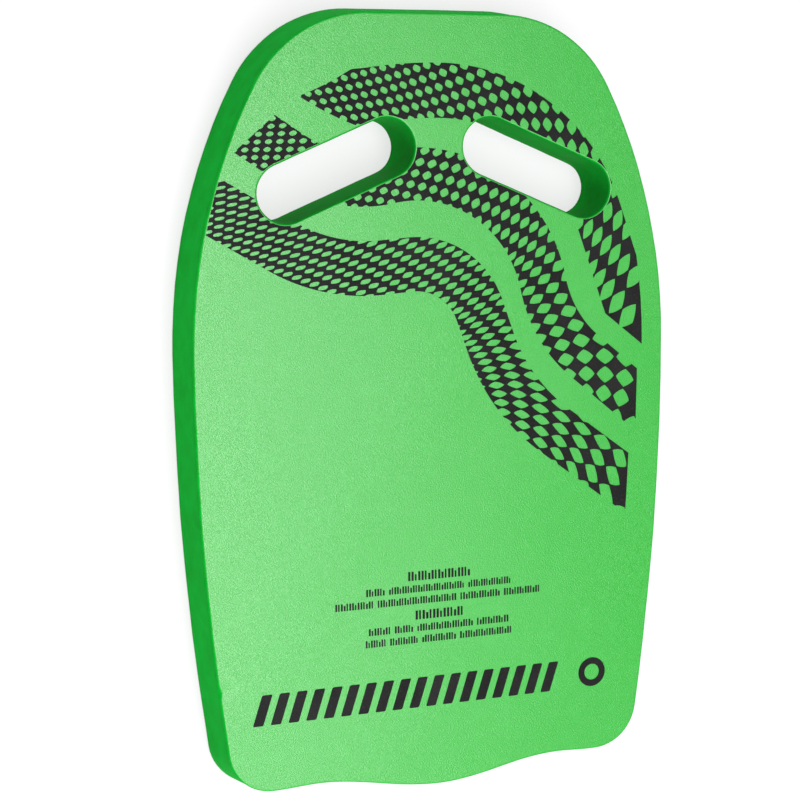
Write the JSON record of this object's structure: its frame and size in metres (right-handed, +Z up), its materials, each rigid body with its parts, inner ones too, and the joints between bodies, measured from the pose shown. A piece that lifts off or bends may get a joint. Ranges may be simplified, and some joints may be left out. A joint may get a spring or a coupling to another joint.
{
  "type": "kickboard float",
  "caption": "Flat foam swimming kickboard with a rounded nose, two slanted hand slots, a waved tail edge and chequered printed bands.",
  "frame": {"origin": "middle of the underside, at the centre of the box round the board", "axes": "+X across the board to the right as seen from the printed face, +Y along it towards the rounded nose, +Z up out of the printed face"},
  "size_m": [0.298, 0.459, 0.0357],
  "materials": {
    "foam_wall": "smooth cut closed-cell foam, satin",
    "grained_face": "matte fine pebble grain",
    "ink": "matte printed film"
  },
  "bodies": {
    "root": {"foam_core": "foam_wall", "upper_face_sheet": "grained_face", "lower_face_sheet": "grained_face", "outer_band_print": "ink", "middle_band_print": "ink", "inner_band_print": "ink", "notice_print": "ink", "motif_print": "ink"}
  },
  "joints": []
}
